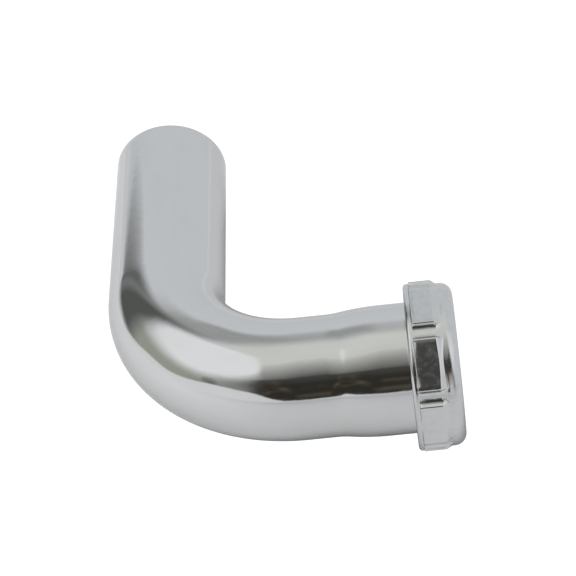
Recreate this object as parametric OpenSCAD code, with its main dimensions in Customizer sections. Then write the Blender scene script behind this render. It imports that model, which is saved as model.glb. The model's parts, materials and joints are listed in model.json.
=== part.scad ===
// Slip joint elbow: a bright plated brass tube bent to a right angle.
// One leg ends plain. The other is swaged out to a socket with a rolled thread,
// and carries a slip nut and the bevelled washer that the nut presses on the mouth.
// It lies on its side as it comes to rest: the plain leg along the floor, and the
// other leg propped up a little by its nut.

/* [Tube] */
// Outside diameter of the tube
tube_od = 38.1; // [30:0.1:52]
// Thickness of the tube's wall
wall = 1.14; // [0.8:0.01:1.6]
// Radius of the bend, measured to the middle of the tube
bend_r = 43.3; // [36:0.1:70]
// Straight length of the plain leg, from the bend to its cut end
plain_length = 74.7; // [40:0.1:250]
// Straight length of the socket leg between the bend and the swage
neck_length = 8.7; // [2:0.1:150]

/* [Socket] */
// Gap around a tube of the same diameter that slips into the socket
slip_gap = 0.1; // [0.05:0.01:0.45]
// Straight depth of the socket behind its thread
socket_depth = 8.6; // [6:0.1:18]
// Length of the hollow curve where the swage leaves the tube
swage_start = 3; // [2:0.5:10]
// Length of the round curve that brings the swage out to the socket
swage_end = 14; // [4:0.5:24]

/* [Thread] */
// Threads in one inch along the tube
threads_per_inch = 11.5; // [8:0.5:18]
// Height of the rolled thread from root to crest
thread_height = 1.2; // [0.6:0.1:1.6]
// Step from the socket's wall out to the root of the thread
thread_step = 0.2; // [0:0.05:0.6]
// Turns of thread on the tube, up to the mouth
thread_turns = 3.5; // [2:0.25:6]
// Length of the slope from the socket up to the thread
thread_slope = 0.6; // [0.3:0.1:2]
// Gap between the thread of the tube and the thread of the nut
thread_gap = 0.2; // [0.1:0.05:0.4]
// Bevel inside the mouth, where the washer wedges in
mouth_bevel = 0.5; // [0.2:0.05:0.8]

/* [Slip nut] */
// Height of the nut along the tube
nut_height = 15; // [13:0.5:30]
// Thickness of the nut's round body around its thread
nut_wall = 3.6; // [2:0.1:6]
// Number of wrench pads around the nut
pad_count = 8; // [6:1:10]
// Width of one wrench pad around the nut
pad_width = 15.7; // [8:0.1:16]
// Height of the pads above the round body
pad_rise = 1.1; // [0.8:0.1:3]
// Height of the round collar in front of the pads above the round body
collar_rise = 0.3; // [0:0.1:0.6]
// Length of the collar, from the pads to the nut's front
collar_length = 5.5; // [4:0.1:8]
// Radius that rounds the front edge of the collar
collar_round = 3.8; // [1:0.1:3.9]
// Radius that rounds the side and back edges of a pad
pad_round = 0.6; // [0.2:0.1:1]
// Radius that rounds the front edge of a pad
pad_front_round = 1; // [0.2:0.1:1.5]
// Length of the round rim behind the pads, flush with their flats
rim_length = 1.6; // [1.2:0.1:4]
// Radius that rounds the back edge of the rim
rim_round = 1.1; // [0.3:0.1:1.1]
// Thickness of the nut's front wall, which presses on the washer
front_wall = 2.3; // [1.5:0.1:4]
// Gap around the slipped-in tube in the nut's front wall
nut_hole_gap = 0.45; // [0.2:0.05:0.8]
// Bevel that leads the nut onto the thread
lead_in = 1.2; // [0.5:0.1:2]
// Bevel around the nut's front hole
hole_bevel = 0.5; // [0.2:0.1:1.5]
// Turn of the nut away from a pad that faces straight down
nut_turned = 3; // [0:0.5:15]

/* [Slip washer] */
// Thickness of the washer that stands out of the mouth
washer_height = 3.8; // [2.5:0.1:6]
// Depth that the washer's nose reaches into the mouth
nose_depth = 1.5; // [1:0.1:3]
// Gap around the slipped-in tube in the washer
washer_hole_gap = 0.05; // [0.02:0.01:0.2]
// Gap between the washer and the pieces around it
washer_gap = 0.12; // [0.05:0.01:0.3]

/* [Hidden] */
$fn = 96;
CURVE_STEPS = 6;
SINK = 0.3;

tube_r = tube_od / 2;
tube_bore_r = tube_r - wall;
socket_bore_r = tube_r + slip_gap;
socket_r = socket_bore_r + wall;

// The thread is drawn as a plain band at half of its height
thread_length = thread_turns * 25.4 / threads_per_inch;
thread_r = socket_r + thread_step + thread_height / 2;
mouth_r = thread_r - wall;

// Stations along the two legs, measured from the corner where their axes cross
plain_leg = bend_r + plain_length;
swage_at = bend_r + neck_length;
socket_at = swage_at + swage_start + swage_end;
slope_at = socket_at + socket_depth;
thread_at = slope_at + thread_slope;
socket_leg = thread_at + thread_length;

// The two curves of the swage meet at this slope
swage_rise = socket_r - tube_r;
swage_angle = 2 * atan(swage_rise / (swage_start + swage_end));
hollow_r = swage_start / sin(swage_angle);
round_r = swage_end / sin(swage_angle);

// The nut, measured from its back face, and the place of that face on the leg
nut_bore_r = thread_r + thread_gap;
nut_hole_r = tube_r + nut_hole_gap;
body_r = nut_bore_r + nut_wall;
pad_r = body_r + pad_rise;
collar_r = body_r + collar_rise;
pad_root_r = nut_bore_r + nut_wall / 2;
pad_end = nut_height - collar_length;
seat_at = nut_height - front_wall;
nut_at = socket_leg + washer_height + washer_gap - seat_at;

washer_r = nut_bore_r - washer_gap;
washer_hole_r = tube_r + washer_hole_gap;
nose_r = mouth_r - washer_gap;

// Reach of the pads from the nut's axis, in a direction turned from straight down
function pad_reach(direction) =
    max([for (i = [0:pad_count - 1]) let (a = nut_turned + i * 360 / pad_count - direction)
        (pad_r - pad_round) * cos(a) + (pad_width / 2 - pad_round) * abs(sin(a)) + pad_round]);

// Tilt of the socket leg when a rounded back edge of the nut rests on the floor
function prop(back_edge, reach, radius) =
    let (at = back_edge + radius, drop = reach - radius)
    atan(drop / at) - asin((tube_r - radius) / norm([drop, at]));

// The rim or the lowest pad props the socket leg up, whichever lifts it more
prop_angle = max(prop(nut_at, pad_r, rim_round), prop(nut_at + rim_length, pad_reach(0), pad_round));

// Middle of the outline of the whole elbow as it lies, from the corner of its axes
collar_arc = [nut_at + nut_height - collar_round, collar_r - collar_round];
front_reach = collar_arc[0] * cos(prop_angle) + collar_arc[1] * sin(prop_angle) + collar_round;
middle = [(front_reach - tube_r) / 2, (plain_leg - max(pad_r, pad_reach(-90))) / 2];

// Outside line of the socket leg from the bend to the mouth, as [radius, station]
function hollow_curve() =
    [for (i = [0:CURVE_STEPS]) let (a = swage_angle * i / CURVE_STEPS)
        [tube_r + hollow_r * (1 - cos(a)), swage_at + hollow_r * sin(a)]];
function round_curve() =
    [for (i = [CURVE_STEPS - 1:-1:0]) let (a = swage_angle * i / CURVE_STEPS)
        [socket_r - round_r * (1 - cos(a)), socket_at - round_r * sin(a)]];
function socket_line() = concat(
    [[tube_r, bend_r]],
    hollow_curve(),
    round_curve(),
    [[socket_r, slope_at], [thread_r, thread_at]]);

function inward(line) = [for (p = line) [p[0] - wall, p[1]]];
function backward(line) = [for (i = [len(line) - 1:-1:0]) line[i]];

// Places a piece drawn along +Z on the axis of the socket leg, at a station
module on_socket_leg(station = 0) {
    rotate([0, 90, 0])
        translate([0, 0, station])
            children();
}

// Lays the elbow on the floor with the middle of its outline above the origin
module laid_down() {
    translate([-middle[0], -middle[1], tube_r])
        rotate([0, -prop_angle, 0])
            children();
}

module ring(outer, inner) {
    difference() {
        circle(outer);
        circle(inner);
    }
}

module plain_end() {
    translate([0, bend_r, 0])
        rotate([-90, 0, 0])
            linear_extrude(plain_length)
                ring(tube_r, tube_bore_r);
}

module bend() {
    translate([bend_r, bend_r, 0])
        rotate(180)
            rotate_extrude(angle = 90)
                translate([bend_r, 0])
                    ring(tube_r, tube_bore_r);
}

// The swage, the socket and the thread band are one wall of even thickness
module socket_end() {
    outside = concat(socket_line(), [[thread_r, socket_leg]]);
    inside = concat(inward(socket_line()),
        [[mouth_r, socket_leg - mouth_bevel], [mouth_r + mouth_bevel, socket_leg]]);
    on_socket_leg()
        rotate_extrude()
            polygon(concat(outside, backward(inside)));
}

module elbow_tube() {
    color([0.80, 0.81, 0.83])
        laid_down()
            union() {
                plain_end();
                bend();
                socket_end();
            }
}

// The waste that a corner rounded to this radius leaves, around the centre of its arc
module corner_waste(radius) {
    difference() {
        square(radius + SINK);
        circle(radius);
    }
}

// Upright bar from x_low to x_high and 0 to height, its two far corners rounded
module rounded_bar(x_low, x_high, height, round_low, round_high) {
    difference() {
        translate([x_low, 0])
            square([x_high - x_low, height]);
        translate([x_high - round_low, round_low])
            mirror([0, 1])
                corner_waste(round_low);
        translate([x_high - round_high, height - round_high])
            corner_waste(round_high);
    }
}

// One raised wrench pad: its outline along the nut, trimmed by its outline from the side
module wrench_pad() {
    intersection() {
        translate([0, -pad_width / 2])
            linear_extrude(pad_end)
                rounded_bar(pad_root_r, pad_r, pad_width, pad_round, pad_round);
        rotate([90, 0, 0])
            linear_extrude(2 * pad_width, center = true)
                translate([0, rim_length])
                    rounded_bar(pad_root_r - SINK, pad_r, pad_end - rim_length, pad_round, pad_front_round);
    }
}

// Half section of the turned form: the rim, the round body, and the collar with its big front round
module nut_outline() {
    rounded_bar(0, pad_r, rim_length, rim_round, SINK / 2);
    translate([0, rim_length - SINK])
        rounded_bar(0, body_r, pad_end - rim_length + SINK, SINK / 2, SINK / 2);
    translate([0, pad_end - SINK])
        rounded_bar(0, collar_r, nut_height - pad_end + SINK, SINK / 2, collar_round);
}

// Half section of the hollow: lead-in, thread band, washer seat and the hole for the tube
module nut_hollow() {
    polygon([
        [0, -SINK],
        [nut_bore_r + lead_in + SINK, -SINK],
        [nut_bore_r, lead_in],
        [nut_bore_r, seat_at],
        [nut_hole_r, seat_at],
        [nut_hole_r, nut_height - hole_bevel],
        [nut_hole_r + hole_bevel + SINK, nut_height + SINK],
        [0, nut_height + SINK]]);
}

module slip_nut() {
    color([0.74, 0.75, 0.76])
        laid_down()
            on_socket_leg(nut_at)
                difference() {
                    union() {
                        rotate_extrude()
                            nut_outline();
                        for (i = [0:pad_count - 1])
                            rotate(nut_turned + i * 360 / pad_count)
                                wrench_pad();
                    }
                    rotate_extrude()
                        nut_hollow();
                }
}

// The washer's bevel runs parallel to the bevel inside the mouth, one gap away from it
module slip_washer() {
    bevel_at = (sqrt(2) - 1) * washer_gap - mouth_bevel;
    color([0.16, 0.16, 0.17])
        laid_down()
            on_socket_leg(socket_leg)
                rotate_extrude()
                    polygon([
                        [washer_hole_r, -nose_depth],
                        [nose_r, -nose_depth],
                        [nose_r, bevel_at],
                        [washer_r, bevel_at + washer_r - nose_r],
                        [washer_r, washer_height],
                        [washer_hole_r, washer_height]]);
}

elbow_tube();
slip_nut();
slip_washer();
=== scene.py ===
# %% [markdown]
# # A chromed slip joint elbow
# A drain elbow is one length of thin brass tube, bent to a right angle and plated. One end is
# plain. The other is swaged out to a socket with a rolled thread, and carries a cast slip nut and
# a rubber washer. The exact solids come first, as a frame that isn't changed. Around them this
# lesson builds three finished pieces, and a small studio for the chrome to reflect.

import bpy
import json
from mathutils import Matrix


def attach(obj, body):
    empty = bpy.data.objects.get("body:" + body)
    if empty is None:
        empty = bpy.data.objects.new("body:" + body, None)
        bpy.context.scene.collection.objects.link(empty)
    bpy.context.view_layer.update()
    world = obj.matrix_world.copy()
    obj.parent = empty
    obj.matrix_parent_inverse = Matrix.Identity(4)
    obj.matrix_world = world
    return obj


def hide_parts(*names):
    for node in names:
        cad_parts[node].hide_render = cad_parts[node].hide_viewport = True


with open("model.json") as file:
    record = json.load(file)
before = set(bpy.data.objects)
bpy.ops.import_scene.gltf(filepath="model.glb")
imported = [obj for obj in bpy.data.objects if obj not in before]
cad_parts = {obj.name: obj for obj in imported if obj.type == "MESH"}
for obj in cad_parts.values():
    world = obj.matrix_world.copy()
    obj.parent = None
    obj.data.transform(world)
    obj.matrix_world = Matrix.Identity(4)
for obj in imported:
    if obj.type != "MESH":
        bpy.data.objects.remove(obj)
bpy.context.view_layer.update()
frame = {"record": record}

# %% The libraries that the lesson uses
import json
from math import asin, atan, atan2, cos, degrees, hypot, pi, radians, sin, sqrt, tau

import bmesh
import bpy
from mathutils import Matrix, Vector

# %% [markdown]
# ## Sizes
# Shapes are modelled in millimetres, in the elbow's own frame: the legs' axes cross at its origin,
# the socket leg runs along +X and the plain leg along +Y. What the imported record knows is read
# from it, so that a change of the frame moves every piece with it. The rest are named here.

# %% Read the legs, the bend and the joint from the record
record = frame["record"]
mounts = {mount["name"]: mount for mount in record["mounts"]}
plain_end, socket = mounts["plain_end"], mounts["slip_socket"]
nut_turn = next(joint for joint in record["behaviour"]["joints"] if joint["name"] == "nut_turn")
coupling = record["behaviour"]["couplings"][0]

MM = 0.001
tube_r = plain_end["dims"]["r_mm"]
bore_r = mounts["plain_end_bore"]["dims"]["r_mm"]
wall = tube_r - bore_r
plain_length = plain_end["dims"]["length_mm"]
socket_depth = socket["dims"]["length_mm"]
socket_r = socket["dims"]["r_mm"] + wall
pitch = coupling["ratio"] * tau / MM

corner = Vector((plain_end["pos_m"][0], socket["pos_m"][1], plain_end["pos_m"][2]))
leg_axis = Vector(socket["axis"])


def station_of(point):
    """How far along the socket leg a point of the record lies, in millimetres."""
    return (Vector(point) - corner).dot(leg_axis) / MM


bend_r = (plain_end["pos_m"][1] - corner.y) / MM - plain_length / 2
plain_leg = bend_r + plain_length
slope_at = station_of(socket["pos_m"]) + socket_depth / 2
socket_at = slope_at - socket_depth
print("bend", round(bend_r, 2), "socket", round(socket_at, 2), "pitch", round(pitch, 4))

# %% Name the sizes that only the shapes need
SWAGE_START = 5.0
SWAGE_END = 12.0
THREAD_SLOPE = 0.6
THREAD_STEP = 0.2
THREAD_HEIGHT = 1.2
THREAD_TURNS = 3.5
THREAD_GAP = 0.2
MOUTH_BEVEL = 0.5

NUT_HEIGHT = 15.0
NUT_WALL = 3.6
PAD_COUNT = 8
PAD_WIDTH = 15.7
PAD_RISE = 1.1
PAD_TURN = 3.0
PAD_ROUND = 0.38
GROOVE_FLOOR_R = 25.69
GROOVE_HALF = 1.55
GROOVE_FILLET = 0.89
RIM_DROP = 0.14
COLLAR_RISE = 0.3
COLLAR_ROUND = 3.8
RIM_ROUND = 1.1
FRONT_WALL = 2.3
NUT_HOLE_GAP = 0.45
LEAD_IN = 1.2

WASHER_HEIGHT = 3.8
NOSE_DEPTH = 1.5
WASHER_GAP = 0.12
WASHER_HOLE_GAP = 0.05

swage_at = socket_at - SWAGE_START - SWAGE_END
thread_at = slope_at + THREAD_SLOPE
mouth_at = thread_at + THREAD_TURNS * pitch
thread_r = socket_r + THREAD_STEP + THREAD_HEIGHT / 2
mouth_r = thread_r - wall
nut_bore_r = thread_r + THREAD_GAP
nut_at = station_of(nut_turn["pos_m"]) - NUT_HEIGHT / 2
print("mouth", round(mouth_at, 2), "nut", round(nut_at, 2), "thread", round(thread_r, 2))

# %% The matrix that lays a modelled piece where the frame has it
tilt = atan2(leg_axis.z, leg_axis.x)
LAID_DOWN = Matrix.Translation(corner) @ Matrix.Rotation(-tilt, 4, "Y") @ Matrix.Scale(MM, 4)
print("socket leg rises by", round(degrees(tilt), 3), "degrees")

# %% [markdown]
# ## Camera
# The photograph looks down on the elbow from straight in front of its socket leg, with a long
# lens and a slight roll. These angles came from laying the solids' outline over the picture.

# %% Camera at the photograph's angle
VIEW_AZIMUTH = 0.263
VIEW_ELEVATION = 39.015
VIEW_ROLL = -2.104
VIEW_DISTANCE = 0.73173
VIEW_TARGET = Vector((0.00227, -0.00137, 0.02329))
LENS = 140.64

camera = bpy.data.objects.new("camera", bpy.data.cameras.new("camera"))
camera.data.lens = LENS
camera.data.sensor_width = 36
camera.data.clip_start = 0.05
turn = (Matrix.Rotation(radians(VIEW_AZIMUTH), 4, "Z")
        @ Matrix.Rotation(radians(90 - VIEW_ELEVATION), 4, "X")
        @ Matrix.Rotation(radians(VIEW_ROLL), 4, "Z"))
camera.matrix_world = Matrix.Translation(VIEW_TARGET) @ turn @ Matrix.Translation((0, 0, VIEW_DISTANCE))
bpy.context.scene.collection.objects.link(camera)
bpy.context.scene.camera = camera
bpy.context.scene.view_settings.view_transform = "Standard"
print("camera at", [round(value, 3) for value in camera.matrix_world.translation])

# %% [markdown]
# ## Shader arithmetic
# Node trees are easier to read as sums than as boxes and wires. A `Wire` stands for one output
# socket, and Python's own operators add the Math nodes. Every other kind of node comes from
# `Board.node`, which makes the node, then its settings, then its sockets.

# %% A board of nodes, and wires that can be added and multiplied
class Board:
    """The node tree of a material or of the world, with one way to add a node."""

    def __init__(self, owner):
        owner.use_nodes = True
        self.tree = owner.node_tree
        self.tree.nodes.clear()

    def node(self, kind, settings=None, inputs=None, output=0):
        made = self.tree.nodes.new(kind)
        for name, value in (settings or {}).items():
            if name == "stops":
                self.set_stops(made.color_ramp, value)
            else:
                setattr(made, name, value)
        for name, value in (inputs or {}).items():
            if isinstance(value, Wire):
                self.tree.links.new(value.socket, made.inputs[name])
            else:
                made.inputs[name].default_value = value
        return Wire(self, made.outputs[output]) if made.outputs else made

    def set_stops(self, ramp, stops):
        while len(ramp.elements) < len(stops):
            ramp.elements.new(1.0)
        for element, (position, colour) in zip(ramp.elements, stops):
            element.position = position
            element.color = colour

    def mix(self, factor, first, second):
        """Blends two colours, from the first at 0 to the second at 1."""
        return self.node("ShaderNodeMix", {"data_type": "RGBA"},
                         {0: factor, 6: first, 7: second}, output=2)


class Wire:
    """One output socket. Arithmetic on it adds Math nodes to its board."""

    def __init__(self, board, socket):
        self.board = board
        self.socket = socket

    def math(self, operation, *others):
        inputs = dict(enumerate((self,) + others))
        return self.board.node("ShaderNodeMath", {"operation": operation}, inputs)

    def __add__(self, other):
        return self.math("ADD", other)

    def __sub__(self, other):
        return self.math("SUBTRACT", other)

    def __mul__(self, other):
        return self.math("MULTIPLY", other)

    def __truediv__(self, other):
        return self.math("DIVIDE", other)

    def __rsub__(self, other):
        return self * -1 + other

    __radd__ = __add__
    __rmul__ = __mul__

    def ramp(self, low, high):
        """Rises evenly from 0 at low to 1 at high."""
        return self.board.node("ShaderNodeMapRange", None,
                               {"Value": self, "From Min": low, "From Max": high})

    def step(self, low, high):
        """Rises smoothly from 0 at low to 1 at high."""
        return self.board.node("ShaderNodeMapRange", {"interpolation_type": "SMOOTHSTEP"},
                               {"Value": self, "From Min": low, "From Max": high})

    def between(self, low, high, soft):
        """Is 1 between low and high, with soft edges."""
        return self.step(low - soft, low + soft) * (1 - self.step(high - soft, high + soft))


# %% [markdown]
# ## Studio
# Chrome has no colour of its own: it is a picture of the room around it. The photograph's tube
# tells what stood there, if each point is read as a mirror. The room is light nearly all round,
# with a bright window high on the left, a dark opening low in front, where the camera stands, and
# a narrow dark gap at the back on the left. The world paints those as soft patches by compass
# direction and height, so the same room lights the elbow from every side.

# %% The room, painted by direction
def shade(level, red=1.0, blue=1.0):
    """A light level as a colour, with its red and blue against its green."""
    return (level * red, level, level * blue, 1.0)


world = bpy.data.worlds.new("studio")
bpy.context.scene.world = world
room = Board(world)
way = room.node("ShaderNodeTexCoord", output="Generated")
parts = room.node("ShaderNodeSeparateXYZ", inputs={0: way}).socket.node
east, north, up = (Wire(room, parts.outputs[index]) for index in range(3))
compass = east.math("ARCTAN2", north * -1) * (180 / pi)
height = up.math("ARCSINE") * (180 / pi)

light = room.mix(height.step(52, 72), shade(0.88, 0.975, 1.03), shade(0.94, 0.99, 0.94))

# A faint beam high at the back, which runs into the gap beside it
above_beam = height + (compass + 154) * 0.14
beam = compass.step(-182, -160) * (1 - compass.step(-138, -115))
beam = beam * above_beam.step(36, 48) * (1 - above_beam.step(53, 75))
light = room.mix(beam * 0.93, light, shade(0.47, 0.98, 0.97))

# The wall in front grows darker towards the camera, and the shelf below the window is dull
front_fall = height - (compass.math("MINIMUM", -10) + 18) * 0.55
front_wall = room.mix(front_fall.ramp(35, 83), shade(0.075, 1.02, 0.92), shade(0.92, 0.99, 0.94))
light = room.mix(compass.between(-62, 48, 14), light, front_wall)
shelf = compass.between(-118, -32, 7) * (1 - height.step(14, 36))
dull = room.mix(compass.step(-75, -50), shade(0.49, 0.97, 0.86), shade(0.35, 0.99, 0.92))
light = room.mix(shelf, light, dull)
off_blot = ((compass + 56.5) / 5.5).math("POWER", 2) + ((height - 16.5) / 5.5).math("POWER", 2)
light = room.mix((1 - off_blot.step(0.1, 1.3)) * 0.95, light, shade(0.12, 1.05, 0.85))

# The window is a soft oval, which fades out at its foot and low on its right
WINDOW_AT = (-82, 43)
WINDOW_HALF = (46, 26)
aside = (compass - WINDOW_AT[0]) / WINDOW_HALF[0]
above = (height - WINDOW_AT[1]) / WINDOW_HALF[1]
off_window = (aside * aside + above * above).math("SQRT")
foot = 1 - (above + aside * 0.5).step(-1.0, 0.2)
tail = aside.step(0.25, 0.6) * (1 - above.step(-0.30, 0.25))
window = 1 - off_window.step(0.88 - 0.45 * foot - 0.26 * tail, 1.03 + 0.28 * foot + 0.19 * tail)
light = room.mix(window, light, shade(1.15))

# The dark gap at the back has a soft left side, and its right side leans over it
lean = compass + height * 0.18 + height.step(26, 50) * 9.5
gap = compass.step(-146, -131) * (1 - lean.step(-118.5, -102))
gap = gap * height.step(-9, -1) * (1 - height.step(38, 62))
light = room.mix(gap, light, shade(0.145, 0.96, 0.92))

# A lamp's soft patch on the right, which the front of the nut's pads picks up
patch = compass.between(44, 92, 14) * height.between(22, 64, 12)
light = room.mix(patch, light, shade(1.1))

# The dark opening in front has dim brown things in it, and something paler low on its right
things = room.node("ShaderNodeTexNoise", inputs={"Vector": way, "Scale": 5.0, "Detail": 1.5})
inside = room.mix(things.step(0.45, 0.75), shade(0.04, 1.08, 0.82), shade(0.12, 1.2, 0.7))
inside = room.mix(height.step(28, 42), inside, shade(0.075, 1.02, 0.95))
pale_thing = compass.step(-2, 8) * (1 - height.step(22, 33))
inside = room.mix(pale_thing, inside, room.mix(height.step(8, 24), shade(0.8), shade(0.42, 1.12, 0.86)))
opening = (compass + height * 0.3).step(-31, -15) * (1 - compass.step(26, 50))
opening = opening * (1 - (height - (compass + 18) * 0.28).step(38, 44))
light = room.mix(opening, light, inside)

# The floor's paper reaches all round, and curls up a little at the front on the left
curl = compass.step(-81, -46) * (1 - compass.step(-35, -11)) * 12.5
curl = curl - compass.step(-152, -134) * (1 - compass.step(-128, -88)) * 9
paper = 1 - (height - curl).step(-1.0, 2.2)
paper_light = room.mix(compass.between(-128, -30, 18), shade(0.94, 0.99, 1.01), shade(1.0, 0.99, 1.0))
light = room.mix(paper * (1 - gap), light, paper_light)

seen_directly = room.node("ShaderNodeLightPath", output="Is Camera Ray")
light = room.mix(seen_directly, light, shade(1.0))
shine = room.node("ShaderNodeBackground", inputs={"Color": light})
room.node("ShaderNodeOutputWorld", inputs={"Surface": shine})
print("studio has", len(room.tree.nodes), "nodes")

# %% [markdown]
# The floor is two sheets in one place. In the photograph the paper around the elbow is cut out to
# pure white, but the chrome still shows how light the paper really was. So the camera sees a
# white sheet with only a faint shade on it, and reflections see a slightly darker one.

# %% Sheets of paper that lie at the height of the floor
def sheet(name, radius, centre, albedo_with_painted_light, glow):
    """A round sheet of paper. Its colour goes from the first value on the left to the second, as painted light
    that is brighter on the window's side, and painted shade darkens it in front.
    """
    bm = bmesh.new()
    bmesh.ops.create_circle(bm, cap_ends=True, segments=96, radius=radius,
                            matrix=Matrix.Translation(centre))
    piece = bpy.data.objects.new(name, bpy.data.meshes.new(name))
    bm.to_mesh(piece.data)
    bm.free()
    bpy.context.scene.collection.objects.link(piece)
    material = bpy.data.materials.new(name)
    board = Board(material)
    place = board.node("ShaderNodeTexCoord", output="Object")
    aside = board.node("ShaderNodeSeparateXYZ", inputs={0: place}, output="X")
    ahead = board.node("ShaderNodeSeparateXYZ", inputs={0: place}, output="Y")
    left, right = albedo_with_painted_light
    # Painted light: the paper's colour is lighter on the left, towards the window
    colour = board.mix(aside.ramp(-0.10, 0.01), shade(left, 0.99, 1.01), shade(right, 0.99, 1.01))
    # Painted shade: the paper is darker in front of the elbow
    painted_front_shade = (1 - ahead.ramp(-0.40, -0.08)) * aside.ramp(-0.40, -0.10)
    colour = board.mix(painted_front_shade, colour, shade(right * 0.80, 0.99, 1.01))
    paper = board.node("ShaderNodeBsdfPrincipled",
                       inputs={"Base Color": colour, "Roughness": 0.9,
                               "Specular IOR Level": 0.0, "Emission Color": shade(1.0, 0.99, 1.01),
                               "Emission Strength": glow})
    board.node("ShaderNodeOutputMaterial", inputs={"Surface": paper})
    piece.data.materials.append(material)
    return piece


white_sheet = sheet("white_sheet", 4.0, (0, 0, 0), (0.45, 0.45), 0.83)
white_sheet.visible_glossy = False
white_sheet.visible_diffuse = False
white_sheet.visible_shadow = False
pale_sheet = sheet("pale_sheet", 1.5, (1.02, -0.80, 0), (0.80, 0.68), 0.0)
pale_sheet.visible_camera = False
print("sheets", white_sheet.name, pale_sheet.name)

# %% [markdown]
# One dark thing stood so near that it shows only in a part of the plain leg: its band is dark by
# the bend and fades out towards the open end. The world is endlessly far away and can't do that.
# So a dark card with soft edges stands there, which neither the camera nor the floor sees.

# %% A dark card with soft edges, near the plain leg
CARD_AT = -0.35
bm = bmesh.new()
bmesh.ops.create_grid(bm, x_segments=1, y_segments=1, size=0.35,
                      matrix=Matrix.Translation((CARD_AT, 0.3, 0.35)) @ Matrix.Rotation(pi / 2, 4, "Y"))
card = bpy.data.objects.new("dark_card", bpy.data.meshes.new("dark_card"))
bm.to_mesh(card.data)
bm.free()
bpy.context.scene.collection.objects.link(card)
card_material = bpy.data.materials.new("dark_card")
board = Board(card_material)
place = board.node("ShaderNodeTexCoord", output="Object")
split = board.node("ShaderNodeSeparateXYZ", inputs={0: place}).socket.node
card_y, card_z = Wire(board, split.outputs["Y"]), Wire(board, split.outputs["Z"])
far_side = card_y - card_z * 0.26
cover = card_y.step(0.26, 0.36) * (1 - far_side.ramp(0.335, 0.476)) * (1 - card_z.step(0.22, 0.55))
cover = cover * (card_z - far_side * 0.85).step(-0.35, -0.265) * 0.92
clear = board.node("ShaderNodeBsdfTransparent")
dark = board.node("ShaderNodeEmission", inputs={"Color": shade(0.155, 0.97, 0.92)})
board.node("ShaderNodeOutputMaterial",
           inputs={"Surface": board.node("ShaderNodeMixShader", inputs={0: cover, 1: clear, 2: dark})})
card.data.materials.append(card_material)
card.visible_camera = False
card.visible_diffuse = False
card.visible_shadow = False
print("card at", CARD_AT)

# %% The soft light above the elbow
KEY_FROM = Vector((-0.8, -0.5, 1.2))
KEY_SPREAD = 50
KEY_STRENGTH = 2.15
key = bpy.data.objects.new("key", bpy.data.lights.new("key", "SUN"))
key.data.angle = radians(KEY_SPREAD)
key.data.energy = KEY_STRENGTH
key.rotation_euler = KEY_FROM.to_track_quat("Z", "Y").to_euler()
key.visible_glossy = False
key.visible_camera = False
bpy.context.scene.collection.objects.link(key)
print("key light from", list(KEY_FROM))

# %% [markdown]
# ## Finishes
# Plated brass is a metal surface with very little roughness. What makes it look real is what
# disturbs the mirror: long faint waves that the drawing of the tube left along it, a fine ripple,
# and a haze that comes and goes. The waves follow the tube through its bend, so each vertex keeps
# an attribute, `straight`, with the place it would have if the tube were straight.

# %% Chrome on the tube
CHROME = (0.58, 0.585, 0.59, 1.0)
NUT_CHROME = (0.56, 0.565, 0.57, 1.0)
EDGE_TINT = (0.8, 0.8, 0.8, 1.0)


def noise(board, place, scale, detail=2.0, stretch=(1, 1, 1)):
    """Soft noise from 0 to 1, at so many features in a millimetre, stretched along any axis."""
    laid = board.node("ShaderNodeMapping", inputs={"Vector": place, "Scale": stretch})
    return board.node("ShaderNodeTexNoise",
                      inputs={"Vector": laid, "Scale": scale, "Detail": detail})


def finish(name, colour, roughness, bump, depth, metallic=1.0):
    """A material from a colour, a roughness and a height that bends its normals."""
    material = bpy.data.materials.new(name)
    board = Board(material)
    normal = board.node("ShaderNodeBump", inputs={"Height": bump(board), "Distance": depth})
    surface = board.node("ShaderNodeBsdfPrincipled",
                         inputs={"Base Color": colour(board), "Roughness": roughness(board),
                                 "Metallic": metallic, "Normal": normal,
                                 "Specular Tint": EDGE_TINT})
    board.node("ShaderNodeOutputMaterial", inputs={"Surface": surface})
    return material


def straight(board):
    return board.node("ShaderNodeAttribute", {"attribute_name": "straight"}, output="Vector")


def tube_colour(board):
    haze = noise(board, straight(board), 0.12, stretch=(1, 1, 0.4)).step(0.4, 0.8)
    return board.mix(haze, CHROME, (0.555, 0.56, 0.565, 1.0))


def tube_roughness(board):
    return 0.035 + noise(board, straight(board), 0.5, stretch=(1, 1, 0.3)) * 0.05


def tube_waves(board):
    drawn = noise(board, straight(board), 0.35, stretch=(1, 1, 0.08)) * 0.010
    ripple = noise(board, straight(board), 0.30) * 0.016
    peel = noise(board, straight(board), 2.2) * 0.0008
    return drawn + ripple + peel


tube_chrome = finish("tube_chrome", tube_colour, tube_roughness, tube_waves, MM)
print("tube chrome has", len(tube_chrome.node_tree.nodes), "nodes")

# %% [markdown]
# The nut is a zinc casting under the same plating. Its skin shows a faint mottle from the mould,
# which blurs the dark reflection on the pad that faces the camera. Castings have no direction, so
# its pattern reads the object's own coordinates.

# %% Chrome on the casting, and black rubber
def object_place(board):
    place = board.node("ShaderNodeTexCoord", output="Object")
    return board.node("ShaderNodeVectorMath", {"operation": "SCALE"}, {0: place, "Scale": 1 / MM})


def nut_colour(board):
    haze = noise(board, object_place(board), 0.45, detail=4.0).step(0.35, 0.75)
    return board.mix(haze, NUT_CHROME, (0.53, 0.535, 0.54, 1.0))


def nut_roughness(board):
    return 0.08 + noise(board, object_place(board), 0.42, detail=3.0).step(0.4, 0.72) * 0.17


def nut_mottle(board):
    broad = noise(board, object_place(board), 0.28, detail=3.0) * 0.045
    return broad + noise(board, object_place(board), 3.0) * 0.0012


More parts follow.
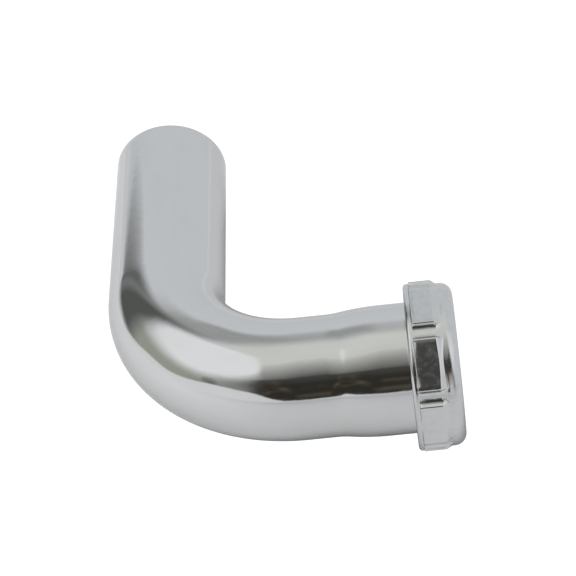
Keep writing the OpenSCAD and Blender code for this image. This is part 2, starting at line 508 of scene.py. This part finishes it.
def rubber_colour(board):
    dust = noise(board, object_place(board), 0.9, detail=5.0).step(0.5, 0.85)
    return board.mix(dust, (0.022, 0.022, 0.024, 1.0), (0.055, 0.055, 0.055, 1.0))


def rubber_roughness(board):
    return 0.55 + noise(board, object_place(board), 1.5) * 0.2


def rubber_grain(board):
    return noise(board, object_place(board), 5.0, detail=3.0) * 0.02


nut_chrome = finish("nut_chrome", nut_colour, nut_roughness, nut_mottle, MM)
rubber = finish("washer_rubber", rubber_colour, rubber_roughness, rubber_grain, MM, metallic=0.0)
print("finishes", [material.name for material in (tube_chrome, nut_chrome, rubber)])

# %% [markdown]
# ## A wall that grows ring by ring
# Tube, nut and washer are all closed rings of wall. A lathe profile would do for the washer, but
# not for a tube that bends or a nut with pads. So one helper draws all three: it starts from a
# circle, extrudes its rim edge by edge, and ends where it began. The same rim runs down the
# outside, over the lip and back along the inside, so the wall is closed and has no seam.

# %% The growing wall
YZ_PLANE = Matrix(((0, 0, 1, 0), (1, 0, 0, 0), (0, 1, 0, 0), (0, 0, 0, 1)))
XZ_PLANE = Matrix(((1, 0, 0, 0), (0, 0, 1, 0), (0, 1, 0, 0), (0, 0, 0, 1)))


class Wall:
    """A wall drawn from a rim of edges. The rim moves on, and faces fill in behind it."""

    def __init__(self, bm, centre, radius):
        self.bm = bm
        self.first = bm.edges[:]
        self.rim = bm.edges[:]
        self.verts = bm.verts[:]
        self.centre = Vector(centre)
        self.radius = radius

    def take(self, geometry):
        self.verts = [part for part in geometry if isinstance(part, bmesh.types.BMVert)]
        self.rim = [part for part in geometry if isinstance(part, bmesh.types.BMEdge)]

    def to(self, centre, radius):
        """Draws the next ring, around a new centre and at a new radius."""
        self.take(bmesh.ops.extrude_edge_only(self.bm, edges=self.rim)["geom"])
        centre = Vector(centre)
        move = (Matrix.Translation(centre) @ Matrix.Scale(radius / self.radius, 4)
                @ Matrix.Translation(-self.centre))
        bmesh.ops.transform(self.bm, matrix=move, verts=self.verts)
        self.centre, self.radius = centre, radius

    def shape(self, radius_of):
        """Moves each vertex of the rim out or in, to the radius that a rule gives it."""
        for vert in self.verts:
            across = vert.co - self.centre
            vert.co = self.centre + across * (radius_of(vert, across) / across.length)

    def turn(self, pivot, angle, steps):
        """Sweeps the rim around an upright pivot."""
        swept = bmesh.ops.spin(self.bm, geom=self.rim, cent=pivot, axis=(0, 0, 1), angle=angle,
                               steps=steps, use_duplicate=False)
        self.take(swept["geom_last"])
        self.centre = Matrix.Rotation(angle, 3, "Z") @ (self.centre - pivot) + pivot

    def close(self):
        """Joins the last rim to the first."""
        bmesh.ops.bridge_loops(self.bm, edges=self.rim + self.first)


def finish_piece(bm, name, material, body, node, sharp=50):
    """Turns a modelled mesh into a piece in its place, which rides on its body."""
    bmesh.ops.recalc_face_normals(bm, faces=bm.faces[:])
    bmesh.ops.transform(bm, matrix=LAID_DOWN, verts=bm.verts[:])
    for edge in bm.edges:
        edge.smooth = edge.calc_face_angle(0.0) < radians(sharp)
    for face in bm.faces:
        face.smooth = True
    mesh = bpy.data.meshes.new(name)
    bm.to_mesh(mesh)
    bm.free()
    mesh.materials.append(material)
    piece = bpy.data.objects.new(name, mesh)
    bpy.context.scene.collection.objects.link(piece)
    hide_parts(node)
    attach(piece, body)
    print(name, "has", sum(len(face.vertices) - 2 for face in mesh.polygons), "triangles")
    return piece


def ease(value):
    """A smooth step from 0 to 1 with level ends."""
    value = min(max(value, 0.0), 1.0)
    return (1 - cos(pi * value)) / 2


def spread(start, end, count):
    """So many values from start to end, without the start."""
    return [start + (end - start) * (index + 1) / count for index in range(count)]


# %% [markdown]
# ## The thread
# A slip joint has a coarse rolled thread, 11.5 in an inch. It is a wave that climbs around the
# wall: its phase depends on the place along the leg and on the angle around it. The nut's thread
# is the same wave, one gap further out, so the two mesh through the whole travel of the nut.

# %% The thread as a wave around the leg
THREAD_START = 1.2


def thread_wave(across, station):
    """From 0 at the root to 1 at the crest, right-handed around the socket leg."""
    angle = atan2(across.z, across.y)
    return (1 + cos(tau * (station / pitch - angle / tau))) / 2


def tube_thread(station):
    """The outside radius of the thread band, which grows out of its root."""
    root = thread_r - THREAD_HEIGHT / 2
    grown = ease((station - thread_at) / THREAD_START)
    return lambda vert, across: root + THREAD_HEIGHT * grown * thread_wave(across, station)


def tube_thread_inside(station):
    """The inside follows the wave more gently, and is even where the washer's nose goes in."""
    swing = 0.7 * ease((station - thread_at) / THREAD_START) * ease((mouth_at - 2 - station) / 1.2)
    return lambda vert, across: mouth_r + swing * (thread_wave(across, station) - 0.5)


# %% [markdown]
# ## The tube
# The real one is a straight tube first. Then a mandrel bends it, a die swages its end out, and
# rollers press the thread into it. The mesh is made the same way round: a ring, the plain leg, a
# spin for the bend, the swage in two tangent curves, the socket and the thread.

# %% Outline of the socket leg, as pairs of station and radius
TUBE_SEGMENTS = 144
swage_angle = 2 * atan((socket_r - tube_r) / (SWAGE_START + SWAGE_END))
hollow_r = SWAGE_START / sin(swage_angle)
round_r = SWAGE_END / sin(swage_angle)

neck = [(station, tube_r) for station in spread(bend_r, swage_at, 10)]
hollow = [(swage_at + hollow_r * sin(a), tube_r + hollow_r * (1 - cos(a)))
          for a in spread(0, swage_angle, 8)]
rounded = [(socket_at - round_r * sin(a), socket_r - round_r * (1 - cos(a)))
           for a in spread(swage_angle, 0, 18)]
sleeve = [(station, socket_r) for station in spread(socket_at, slope_at, 8)]
socket_line = neck + hollow + rounded + sleeve
thread_rings = spread(thread_at, mouth_at - 0.25, 48)
print("socket leg has", len(socket_line) + len(thread_rings), "rings")

# %% Draw the outside, the lip and the inside
EDGE = 0.15
BEND_STEPS = 56
pivot = Vector((bend_r, bend_r, 0))

bm = bmesh.new()
bmesh.ops.create_circle(bm, cap_ends=False, segments=TUBE_SEGMENTS, radius=tube_r - EDGE,
                        matrix=Matrix.Translation((0, plain_leg, 0)) @ XZ_PLANE)
tube = Wall(bm, (0, plain_leg, 0), tube_r - EDGE)
tube.to((0, plain_leg - EDGE / 3, 0), tube_r - EDGE / 3)
tube.to((0, plain_leg - EDGE, 0), tube_r)
for place in spread(plain_leg - EDGE, bend_r, 30):
    tube.to((0, place, 0), tube_r)
tube.turn(pivot, radians(90), BEND_STEPS)
for station, radius in socket_line:
    tube.to((station, 0, 0), radius)
for station in [thread_at] + thread_rings:
    tube.to((station, 0, 0), thread_r)
    tube.shape(tube_thread(station))

# Over the lip: a rounded edge, the flat mouth, and the bevel where the washer wedges in
tube.to((mouth_at, 0, 0), thread_r)
tube.shape(lambda vert, across: max(across.length - 0.12, mouth_r + MOUTH_BEVEL + 0.03))
tube.to((mouth_at, 0, 0), mouth_r + MOUTH_BEVEL)
tube.shape(lambda vert, across: mouth_r + MOUTH_BEVEL)
tube.to((mouth_at - MOUTH_BEVEL, 0, 0), mouth_r)
tube.to((mouth_at - MOUTH_BEVEL - EDGE, 0, 0), mouth_r)
for station in reversed([thread_at] + thread_rings[:-2]):
    tube.to((station, 0, 0), mouth_r)
    tube.shape(tube_thread_inside(station))
for station, radius in reversed(socket_line[::2]):
    tube.to((station, 0, 0), radius - wall)
    tube.shape(lambda vert, across: radius - wall)
tube.to((bend_r, 0, 0), bore_r)
tube.turn(pivot, radians(-90), BEND_STEPS // 2)
for place in spread(bend_r, plain_leg - EDGE, 8):
    tube.to((0, place, 0), bore_r)
tube.to((0, plain_leg, 0), bore_r + EDGE)
tube.close()
print("tube has", len(bm.verts), "vertices")

# %% [markdown]
# ### Straightening the elbow
# To place something along a bent tube, it helps to know where each point would lie on a straight
# one: how far along, and where across. This rule is the bend, undone. It serves three times: for
# the dents, for the wrinkles inside the bend, and for the attribute that the finish reads.

# %% Where a point of the elbow would lie on a straight tube
bend_length = bend_r * pi / 2


def straighten(point):
    """Across the tube towards the inside of the bend, across it upwards, and along it."""
    if point.y > bend_r:
        return Vector((point.x, point.z, plain_leg - point.y))
    if point.x > bend_r:
        return Vector((point.y, point.z, plain_length + bend_length + point.x - bend_r))
    out = Vector((bend_r - point.x, bend_r - point.y))
    turned = atan2(out.y, out.x)
    return Vector((bend_r - out.length, point.z, plain_length + bend_r * turned))


# %% [markdown]
# The photograph shows what bending did to the tube: a shallow flat inside the bend's far end, and
# a few small wrinkles where the wall was squeezed. Both are real moves of the mesh, not bump,
# because a mirror shows them first in its outline and its reflections.

# %% Press the dents into the tube
def press(bm, angle, along, reach_around, reach_along, depth):
    """Moves the wall in or out around one place, softly, by up to the depth."""
    for vert in bm.verts:
        place = straighten(vert.co)
        off_angle = atan2(sin(atan2(place.y, place.x) - angle), cos(atan2(place.y, place.x) - angle))
        far = hypot(off_angle * tube_r / reach_around, (place.z - along) / reach_along)
        if far < 1:
            vert.co += inward_at(vert.co) * depth * ease(1 - far)


def inward_at(point):
    """The direction from a point of the wall to the middle of the tube beside it."""
    if point.y > bend_r:
        middle = Vector((0, point.y, 0))
    elif point.x > bend_r:
        middle = Vector((point.x, 0, 0))
    else:
        flat = Vector((point.x - bend_r, point.y - bend_r, 0)).normalized()
        middle = pivot + flat * bend_r
    return (middle - point).normalized()


press(bm, 0.15, plain_length + bend_length + 4.5, 13, 9, 0.42)
for along, angle, deep in ((43.0, 96, 0.11), (49.0, 100, 0.05)):
    press(bm, radians(angle), plain_length + along, 2.4, 9, deep)
straight_layer = bm.verts.layers.float_vector.new("straight")
for vert in bm.verts:
    vert[straight_layer] = straighten(vert.co)

elbow_piece = finish_piece(bm, "chromed_tube", tube_chrome, "tube", "elbow_tube")

# %% [markdown]
# ## The slip nut
# A die casting: a round rim at the back, eight raised pads for the wrench, and a collar with a
# big soft front edge. Sharp solids would give it away, because the mould and the plating round
# every edge and fill every corner. So its outline is drawn once, corner by corner, and its
# corners are rounded with the bevel operator. Each ring of the nut is then a blend between that
# outline and a plain circle, and the blend itself makes the soft ends of the pads.

# %% Outline of the pads
body_r = nut_bore_r + NUT_WALL
pad_r = body_r + PAD_RISE
rim_r = pad_r - RIM_DROP
collar_r = body_r + COLLAR_RISE
half_pad = PAD_WIDTH / 2
corner_r = hypot(pad_r, half_pad)
corner_turn = atan(half_pad / pad_r)
DOWN = -pi / 2
SECTOR = tau / PAD_COUNT

floor_r = hypot(GROOVE_FLOOR_R, GROOVE_HALF)
floor_turn = SECTOR / 2 - atan(GROOVE_HALF / GROOVE_FLOOR_R)

# The corners of one pad, and of the groove's floor on both sides of it, as radius and angle
pad_corners = [(floor_r, -floor_turn), (corner_r, -corner_turn),
               (corner_r, corner_turn), (floor_r, floor_turn)]
corner_count = len(pad_corners)

bm = bmesh.new()
bmesh.ops.create_circle(bm, cap_ends=True, segments=PAD_COUNT * corner_count, radius=body_r,
                        matrix=YZ_PLANE)
bm.verts.ensure_lookup_table()
for index, vert in enumerate(bm.verts):
    radius, angle = pad_corners[index % corner_count]
    angle += DOWN + radians(PAD_TURN) + index // corner_count * SECTOR
    vert.co = (0, radius * cos(angle), radius * sin(angle))
feet = [vert for vert in bm.verts if vert.co.length < pad_r]
tops = [vert for vert in bm.verts if vert.co.length > pad_r]
for corners, offset in ((feet, GROOVE_FILLET), (tops, PAD_ROUND)):
    bmesh.ops.bevel(bm, geom=corners, offset=offset, offset_type="OFFSET", affect="VERTICES",
                    segments=6, profile=0.5, material=-1)
bmesh.ops.delete(bm, geom=bm.faces[:], context="FACES_ONLY")
flats = [edge for edge in bm.edges if edge.calc_length() > 5]
bmesh.ops.subdivide_edges(bm, edges=flats, cuts=12)
print("nut outline has", len(bm.verts), "points")

# %% Draw the nut from ring to ring
THREAD_END = 9.0
SHOULDER_END = 10.5
SHOULDER_LENGTH = 2.0
seat_at = NUT_HEIGHT - FRONT_WALL
hole_r = tube_r + NUT_HOLE_GAP
outline = bm.verts.layers.float.new("outline")
for vert in bm.verts:
    vert[outline] = vert.co.length


def blended(circle_r, share):
    """Radius of a ring between a circle, at a share of 0, and the pads' outline, at 1."""
    return lambda vert, across: circle_r + (vert[outline] - circle_r) * share


def shoulder(station):
    """Radius where the pads slope down to the collar, on a longer slope where they stand higher."""
    def radius_of(vert, across):
        high = vert[outline] - pad_r
        share = ease((SHOULDER_END + 0.45 * high - station) / (SHOULDER_LENGTH + 0.7 * high))
        return collar_r + (vert[outline] - collar_r) * share
    return radius_of


def nut_thread(station):
    """Radius of the nut's thread, which fades out to its root towards both ends."""
    root = nut_bore_r + THREAD_HEIGHT / 2
    full = ease((station - nut_at - 0.6) / 1.2) * ease((nut_at + THREAD_END - station) / 0.8)
    return lambda vert, across: root - THREAD_HEIGHT * full * (1 - thread_wave(across, station))


# Rings as station from the nut's back, radius of the circle, and share of the pads' outline
rings = [(0, body_r - 0.6, 0), (0, rim_r - RIM_ROUND, 0)]
rings += [(RIM_ROUND * (1 - cos(a)), rim_r - RIM_ROUND * (1 - sin(a)), 0)
          for a in spread(0, pi / 2, 7)]
rings += [(1.3, rim_r, 0), (1.65, rim_r, 0)]
rings += [(1.65 + 0.28 * step, rim_r, ease(step)) for step in spread(0, 1, 6)]
rings += [(station, rim_r, 1) for station in (3.0, 5.0, 7.0)]
round_at = NUT_HEIGHT - COLLAR_ROUND
front_rings = [(round_at + COLLAR_ROUND * sin(a), collar_r - COLLAR_ROUND * (1 - cos(a)), 0)
          for a in [0] + spread(0, pi / 2, 14)]
front_rings += [(NUT_HEIGHT, hole_r + 0.5, 0)]
front_rings += [(NUT_HEIGHT - 0.5 * (1 - cos(a)), hole_r + 0.5 - 0.5 * sin(a), 0)
          for a in spread(0, pi / 2, 4)]
front_rings += [(seat_at + 0.15, hole_r, 0), (seat_at, hole_r + 0.15, 0)]
front_rings += [(seat_at, nut_bore_r - 0.2, 0), (seat_at - 0.2, nut_bore_r, 0), (THREAD_END + 0.4, nut_bore_r, 0)]

start_r = nut_bore_r + LEAD_IN
nut = Wall(bm, (0, 0, 0), 1.0)
nut.shape(lambda vert, across: start_r)
for station, circle_r, share in rings:
    nut.to((station, 0, 0), 1.0)
    nut.shape(blended(circle_r, share))
for station in spread(7.6, 11.0, 16):
    nut.to((station, 0, 0), 1.0)
    nut.shape(shoulder(station))
for station, circle_r, share in front_rings:
    nut.to((station, 0, 0), 1.0)
    nut.shape(blended(circle_r, share))
for station in spread(THREAD_END, 0.6, 48):
    nut.to((station, 0, 0), 1.0)
    nut.shape(nut_thread(nut_at + station))
nut.close()
bmesh.ops.translate(bm, vec=(nut_at, 0, 0), verts=bm.verts[:])
nut_piece = finish_piece(bm, "slip_nut_casting", nut_chrome, "nut", "slip_nut")

# %% [markdown]
# ## The washer
# A bevelled ring of black rubber. Its nose sits inside the mouth of the socket and its cone runs
# parallel to the mouth's bevel. Rubber edges are never sharp, so each corner of its section is
# cut by two short steps.

# %% The washer, drawn around its section
WASHER_SEGMENTS = 96
CUT = 0.18
washer_r = nut_bore_r - WASHER_GAP
washer_hole_r = tube_r + WASHER_HOLE_GAP
nose_r = mouth_r - WASHER_GAP
bevel_at = (sqrt(2) - 1) * WASHER_GAP - MOUTH_BEVEL
cone_end = bevel_at + washer_r - nose_r

section = [
    (-NOSE_DEPTH, washer_hole_r + CUT), (-NOSE_DEPTH, nose_r - CUT),
    (-NOSE_DEPTH + CUT, nose_r), (bevel_at - CUT / 2, nose_r),
    (bevel_at + CUT, nose_r + CUT), (cone_end - CUT, washer_r - CUT),
    (cone_end + CUT / 2, washer_r), (WASHER_HEIGHT - CUT, washer_r),
    (WASHER_HEIGHT, washer_r - CUT), (WASHER_HEIGHT, washer_hole_r + CUT),
    (WASHER_HEIGHT - CUT, washer_hole_r)]

bm = bmesh.new()
start_at, start_r = -NOSE_DEPTH + CUT, washer_hole_r
bmesh.ops.create_circle(bm, cap_ends=False, segments=WASHER_SEGMENTS, radius=start_r,
                        matrix=Matrix.Translation((start_at, 0, 0)) @ YZ_PLANE)
washer = Wall(bm, (start_at, 0, 0), start_r)
for station, radius in section:
    washer.to((station, 0, 0), radius)
washer.close()
bmesh.ops.translate(bm, vec=(mouth_at, 0, 0), verts=bm.verts[:])
washer_piece = finish_piece(bm, "rubber_washer", rubber, "washer", "slip_washer")
